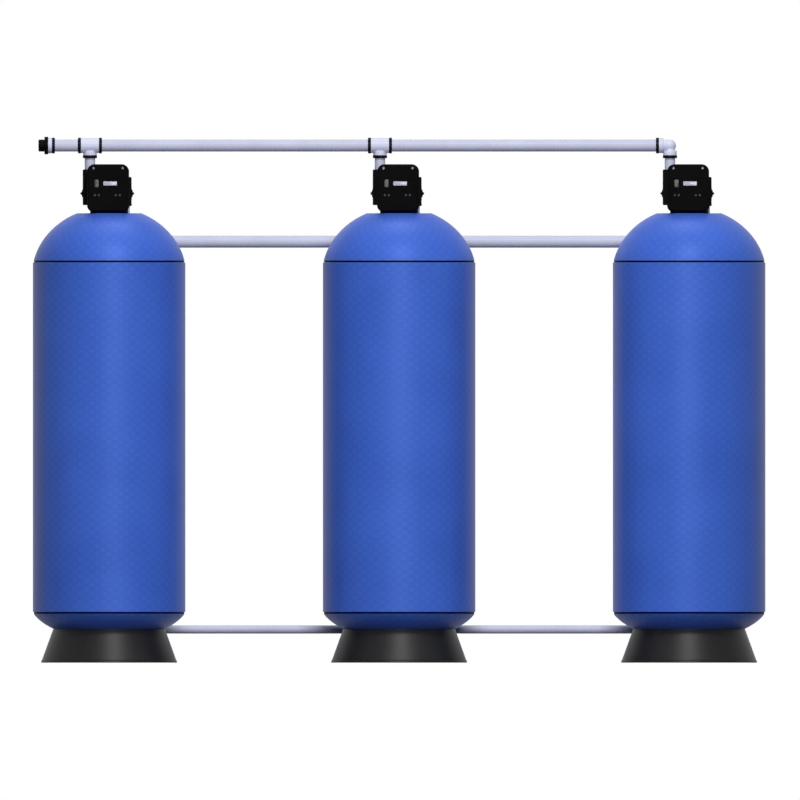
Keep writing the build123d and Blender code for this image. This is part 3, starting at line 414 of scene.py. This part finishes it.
def cone_radius(height):
    """The cone's outer radius at a height."""
    return base_top + cone_slope * (base_height - height)


quarter = [math.radians(15 * step) for step in range(7)]
bead = [(base_foot - bead_ease - bead_step * (1 - math.cos(turn)),
         bead_height - bead_step + bead_step * math.sin(turn)) for turn in quarter]
footing = [(base_foot - foot_lip, 0), (base_foot - foot_ease, 0), (base_foot, foot_ease)] + bead
footing += [(cone_radius(bead_height + rise), bead_height + rise) for rise in (0.001, 0.003)]
footing += [(cone_radius(base_height * share), base_height * share) for share in (0.3, 0.5, 0.7, 0.9)]
footing += [(base_top, base_height)]
footing += [(base_top - seat_width * share, low_dome_height(base_top - seat_width * share))
            for share in (0.25, 0.5, 0.75, 1.0)]
footing += [(base_top - seat_width, seat_height), (cone_radius(seat_height) - base_wall, seat_height)]
footing += [(cone_radius(base_wall) - base_wall, base_wall), (base_foot - foot_lip, base_wall)]

for name in ("base_1", "base_2", "base_3"):
    low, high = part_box(name)
    mesh = turned(footing, base_plastic, segments=128)
    mesh.transform(Matrix.Translation(((low.x + high.x) / 2, (low.y + high.y) / 2, 0)))
    cone = piece(name + "_cone", mesh, "unit", name)


# Valve bodies. Each is one moulding of glass-filled black plastic, screwed into the vessel's neck: a
# flange, a neck, the barrel that the piston works in, and the inlet, outlet and drain ports behind it.

weld_distance = 2e-6


def welded(node):
    """A CAD node's mesh with its loose triangles joined, and any of no area taken out."""
    shape = bmesh.new()
    shape.from_mesh(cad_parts[node].data)
    bmesh.ops.remove_doubles(shape, verts=shape.verts, dist=weld_distance)
    bmesh.ops.dissolve_degenerate(shape, edges=shape.edges, dist=weld_distance / 2)
    mesh = bpy.data.meshes.new(node + "_shape")
    shape.to_mesh(mesh)
    shape.free()
    return mesh


def dressed(node, finish, body="unit", angle=28):
    """A welded copy of a CAD node in its own finish, with evenly shaded faces."""
    mesh = welded(node)
    mesh.materials.clear()
    mesh.materials.append(finish)
    mesh.shade_smooth()
    mesh.set_sharp_from_angle(angle=math.radians(angle))
    made = piece(node + "_finished", mesh, body, node)
    even = made.modifiers.new("even shading", "WEIGHTED_NORMAL")
    even.keep_sharp = True
    even.weight = 100


# Glass-filled polyphenylene oxide: black and matt, with the faint cloudiness of its fibres.
valve_plastic = grained_plastic("glass-filled black valve plastic", ("#030304", "#060607"), 0.55,
                                0.0009, 0.00006, 0.06)

for number in (1, 2, 3):
    dressed(f"valve_body_{number}", valve_plastic)
dressed("valve_union_nuts", valve_plastic)


# Valve covers. Each is a thin box of black ABS with a spark-textured face and a sunk panel, held by
# two screws at the top, with a display, an indicator lens and four buttons set into the panel.

# ABS moulded in a spark-eroded tool: black, and matt enough to mirror nothing.
cover_plastic = grained_plastic("spark-textured black ABS", ("#020203", "#050506"), 0.60,
                                0.0006, 0.00004, 0.05)

# Silicone rubber button caps in dark grey.
button_rubber = grained_plastic("grey silicone rubber", ("#343434", "#3C3C3C"), 0.55,
                                0.0008, 0.00003, 0.15)

# Smoked acrylic over an unlit indicator: dark grey, polished.
lens_acrylic = grained_plastic("smoked grey acrylic", ("#343432", "#3D3D3B"), 0.16,
                               0.01, 0.00001, 0.2)

# The pale lavender-grey of a reflective display that is switched off, behind clear acrylic.
display_acrylic = grained_plastic("display under clear acrylic", ("#9C9AA8", "#A7A5B2"), 0.10,
                                  0.02, 0.00001, 0.3)

# Zinc-plated steel screws, passivated nearly black, so that they show as dull grey marks.
screw_steel = grained("dark passivated steel", ("#4B4C4E", "#5A5B5E"), 0.38,
                      0.0006, 0.00002, Metallic=1.0)

for number in (1, 2, 3):
    dressed(f"front_cover_{number}", cover_plastic)
    for label in ("menu", "set", "down", "up"):
        dressed(f"{label}_button_{number}", button_rubber, f"{label}_button_{number}")
dressed("display_windows", display_acrylic)
dressed("indicator_lenses", lens_acrylic)
dressed("cover_screws", screw_steel)


# Pipes of the three headers and their drops: extruded rigid PVC in pale lavender grey, cut to length
# and pushed into the sockets of the fittings. The node's pipes are turned anew, with eased ends.

pipe_walls = {"inlet_header_pipes": 0.0037, "inlet_drop_pipes": 0.0036, "outlet_pipes": 0.0037,
              "drain_pipes": 0.0034}
end_ease = 0.0006


def solids(node):
    """The lowest and highest corners of each separate solid of a CAD node."""
    shape = bmesh.new()
    shape.from_mesh(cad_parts[node].data)
    bmesh.ops.remove_doubles(shape, verts=shape.verts, dist=weld_distance)
    boxes = []
    waiting = set(shape.verts)
    while waiting:
        group = [waiting.pop()]
        for vertex in group:
            for edge in vertex.link_edges:
                other = edge.other_vert(vertex)
                if other in waiting:
                    waiting.remove(other)
                    group.append(other)
        corners = [vertex.co for vertex in group]
        low = Vector([min(corner[axis] for corner in corners) for axis in range(3)])
        high = Vector([max(corner[axis] for corner in corners) for axis in range(3)])
        boxes.append((low, high))
    shape.free()
    return sorted(boxes, key=lambda box: tuple(round(value, 4) for value in box[0]))


def joined(name, meshes):
    """Several meshes of one material as one mesh, evenly rounded to the eye."""
    shape = bmesh.new()
    materials = []
    for mesh in meshes:
        shape.from_mesh(mesh)
        materials = materials or list(mesh.materials)
        bpy.data.meshes.remove(mesh)
    made = bpy.data.meshes.new(name)
    shape.to_mesh(made)
    shape.free()
    for finish in materials:
        made.materials.append(finish)
    made.shade_smooth()
    made.set_sharp_from_angle(angle=math.radians(32))
    return made


# Extruded PVC: smooth and half glossy, with a slight drift in its colour.
pipe_plastic = grained_plastic("extruded pale grey PVC", ("#A2A5BA", "#AAADC2"), 0.36,
                               0.004, 0.00004, 0.25)

for node, wall in pipe_walls.items():
    tubes = []
    for low, high in solids(node):
        extent = high - low
        along = max(range(3), key=lambda axis: extent[axis])
        radius = min(extent) / 2
        half = extent[along] / 2
        tube = [(radius - wall, -half), (radius - end_ease, -half), (radius, end_ease - half),
                (radius, half - end_ease), (radius - end_ease, half), (radius - wall, half)]
        mesh = turned(tube, pipe_plastic, segments=64)
        direction = Vector([1.0 if axis == along else 0.0 for axis in range(3)])
        turn = direction.to_track_quat("Z", "Y").to_matrix().to_4x4()
        mesh.transform(Matrix.Translation((low + high) / 2) @ turn)
        tubes.append(mesh)
    pipes = piece(node + "_drawn", joined(node, tubes), "unit", node)


# Fittings: injection-moulded PVC tees, elbows and tailpieces, each with a thicker hub round every
# socket, a little paler and glossier than the pipe.

# Moulded PVC: the pipe's grey a shade paler, and smoother from the polished mould.
fitting_plastic = grained_plastic("moulded pale grey PVC", ("#AFB2C7", "#B7BACF"), 0.32,
                                  0.003, 0.00004, 0.3)

for node in ("inlet_header_fittings", "inlet_valve_elbows", "outlet_fittings", "outlet_tailpieces",
             "drain_fittings", "union_collars"):
    dressed(node, fitting_plastic)


# Retaining rings. A black compression ring is screwed over each socket to hold its pipe, with grip
# ribs all round that stand a little proud of the band.

ring_ribs = 36
ring_thickness = 0.0072
ring_edge = 0.0012
ring_steps = 72
rib_height = 0.0008
rib_length_share = 0.72
rib_width_share = 0.42

# Black polypropylene, half glossy where hands have turned it.
ring_plastic = grained_plastic("ribbed black polypropylene", ("#030304", "#070708"), 0.38,
                               0.001, 0.00004, 0.1)


def ribbed_ring_tree():
    """Geometry Nodes: one ribbed ring is set on every point, turned to the point's direction."""
    tree = bpy.data.node_groups.new("ribbed rings on points", "GeometryNodeTree")
    for label, kind in (("Points", "Geometry"), ("Middle radius", "Float"), ("Thickness", "Float"),
                        ("Width", "Float"), ("Edge", "Float"), ("Ribs", "Int"), ("Rib size", "Vector"),
                        ("Material", "Material")):
        tree.interface.new_socket(label, in_out="INPUT", socket_type="NodeSocket" + kind)
    tree.interface.new_socket("Rings", in_out="OUTPUT", socket_type="NodeSocketGeometry")
    given = add_node(tree, "NodeGroupInput").outputs
    section = add_node(tree, "GeometryNodeCurvePrimitiveQuadrilateral", mode="RECTANGLE",
                       links=[("Width", given["Thickness"]), ("Height", given["Width"])])
    eased = add_node(tree, "GeometryNodeFilletCurve", mode="POLY", values=[("Count", 3)],
                     links=[("Curve", section.outputs[0]), ("Radius", given["Edge"])])
    circle = add_node(tree, "GeometryNodeCurvePrimitiveCircle", values=[("Resolution", ring_steps)],
                      links=[("Radius", given["Middle radius"])])
    level = add_node(tree, "GeometryNodeSetCurveNormal", links=[("Curve", circle.outputs[0])], mode="Z_UP")
    band = add_node(tree, "GeometryNodeCurveToMesh",
                    links=[("Curve", level.outputs[0]), ("Profile Curve", eased.outputs[0])])
    half = add_node(tree, "ShaderNodeMath", operation="MULTIPLY_ADD",
                    links=[(0, given["Thickness"]), (2, given["Middle radius"])], values=[(1, 0.5)])
    path = add_node(tree, "GeometryNodeCurvePrimitiveCircle", values=[("Resolution", ring_steps)],
                    links=[("Radius", half.outputs[0])])
    spots = add_node(tree, "GeometryNodeCurveToPoints", mode="COUNT",
                     links=[("Curve", path.outputs[0]), ("Count", given["Ribs"])])
    rib = add_node(tree, "GeometryNodeMeshCube", links=[("Size", given["Rib size"])])
    ribs = add_node(tree, "GeometryNodeInstanceOnPoints",
                    links=[("Points", spots.outputs["Points"]), ("Instance", rib.outputs[0]),
                           ("Rotation", spots.outputs["Rotation"])])
    ring = add_node(tree, "GeometryNodeJoinGeometry", links=[(0, band.outputs[0])])
    tree.links.new(ribs.outputs[0], ring.inputs[0])
    heading = add_node(tree, "GeometryNodeInputNamedAttribute", data_type="FLOAT_VECTOR",
                       values=[("Name", "direction")])
    turn = add_node(tree, "FunctionNodeAlignRotationToVector", axis="Z",
                    links=[("Vector", heading.outputs["Attribute"])])
    rings = add_node(tree, "GeometryNodeInstanceOnPoints",
                     links=[("Points", given["Points"]), ("Instance", ring.outputs[0]),
                            ("Rotation", turn.outputs[0])])
    real = add_node(tree, "GeometryNodeRealizeInstances", links=[(0, rings.outputs[0])])
    finish = add_node(tree, "GeometryNodeSetMaterial",
                      links=[("Geometry", real.outputs[0]), ("Material", given["Material"])])
    add_node(tree, "NodeGroupOutput", links=[(0, finish.outputs[0])])
    return tree


ring_tree = ribbed_ring_tree()
ring_sets = {}
for low, high in solids("retaining_rings"):
    extent = high - low
    along = min(range(3), key=lambda axis: extent[axis])
    radius = round(max(extent) / 2, 4)
    direction = tuple(1.0 if axis == along else 0.0 for axis in range(3))
    ring_sets.setdefault((radius, round(extent[along], 4)), []).append(((low + high) / 2, direction))

thickness = ring_thickness - rib_height
ribbed = []
for (radius, width), places in sorted(ring_sets.items()):
    mesh = bpy.data.meshes.new("ring places")
    mesh.from_pydata([place for place, _ in places], [], [])
    heading = mesh.attributes.new("direction", "FLOAT_VECTOR", "POINT")
    heading.data.foreach_set("vector", [value for _, direction in places for value in direction])
    source = bpy.data.objects.new("ring places", mesh)
    scene.collection.objects.link(source)
    outer = radius - rib_height
    rib_width = 2 * math.pi * outer / ring_ribs * rib_width_share
    rib_size = (rib_height * 2, rib_width, width * rib_length_share)
    ribbed.append(applied(source, ring_tree, Middle_radius=outer - thickness / 2, Thickness=thickness,
                          Width=width, Edge=ring_edge, Ribs=ring_ribs, Rib_size=rib_size,
                          Material=ring_plastic))
rings = piece("retaining_rings_ribbed", joined("rings", ribbed), "unit", "retaining_rings")


# End unions, where other pipework joins the headers: a black nut draws the flange of a black spigot
# against the collar on the pipe.

for node in ("end_union_nuts", "end_spigots"):
    dressed(node, valve_plastic)


# What the vessels hold. Gravel carries the bed of activated carbon, a riser tube brings the filtered
# water up from a distributor with slotted arms, and a slotted basket spreads the raw water at the top.

def granules(name, colours, size, depth, roughness):
    """Loose grains about size metres across: each cell has its own shade and its own crown."""
    made, tree, shader = surface(name, Roughness=roughness)
    place = add_node(tree, "ShaderNodeTexCoord")
    cells = add_node(tree, "ShaderNodeTexVoronoi", links=[("Vector", place.outputs["Object"])],
                     values=[("Scale", 1 / size)])
    tint = add_node(tree, "ShaderNodeValToRGB", links=[("Fac", cells.outputs["Color"])])
    tint.color_ramp.elements[0].color, tint.color_ramp.elements[1].color = map(linear, colours)
    tree.links.new(tint.outputs[0], shader.inputs["Base Color"])
    bump = add_node(tree, "ShaderNodeBump", links=[("Height", cells.outputs["Distance"])],
                    values=[("Strength", 0.8), ("Distance", depth)], invert=True)
    tree.links.new(bump.outputs[0], shader.inputs["Normal"])
    return made


def painted(finish, *nodes):
    """Gives CAD nodes that stay as they are their finish."""
    for node in nodes:
        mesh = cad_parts[node].data
        mesh.materials.clear()
        mesh.materials.append(finish)


painted(granules("granular activated carbon", ("#0B0B0B", "#1E1E1E"), 0.003, 0.001, 0.75), "carbon_beds")
painted(granules("washed quartz gravel", ("#8E8473", "#C9BEA8"), 0.006, 0.002, 0.6), "gravel_beds")
painted(grained_plastic("natural ABS distributor plastic", ("#C9C8C0", "#D2D1CA"), 0.4, 0.002, 0.00004),
        "lower_distributors", "riser_tubes", "upper_diffusers")


# The valve's works, behind the cover: a piston slides in a stack of seals, driven by a screw in the hub
# of an acetal gear, which the brass pinion of a small motor turns. The circuit board stands in front.

painted(grained_plastic("black nitrile rubber", ("#101010", "#171717"), 0.6, 0.001, 0.00003), "seal_stacks")
painted(grained_plastic("polished white acetal", ("#D8D6CC", "#DEDCD2"), 0.25, 0.002, 0.00001),
        "piston_1", "piston_2", "piston_3", "drive_gear_1", "drive_gear_2", "drive_gear_3")
painted(grained("turned brass", ("#C9A04E", "#D6B066"), 0.25, 0.0005, 0.00001, Metallic=1.0),
        "motor_pinion_1", "motor_pinion_2", "motor_pinion_3")
painted(grained("drawn motor steel", ("#A9ABAE", "#B6B8BB"), 0.35, 0.0008, 0.00001, Metallic=1.0),
        "drive_motors")
painted(grained_plastic("green board laminate", ("#0E4A2A", "#125533"), 0.35, 0.001, 0.00001),
        "circuit_boards")
painted(valve_plastic, "drive_brackets")
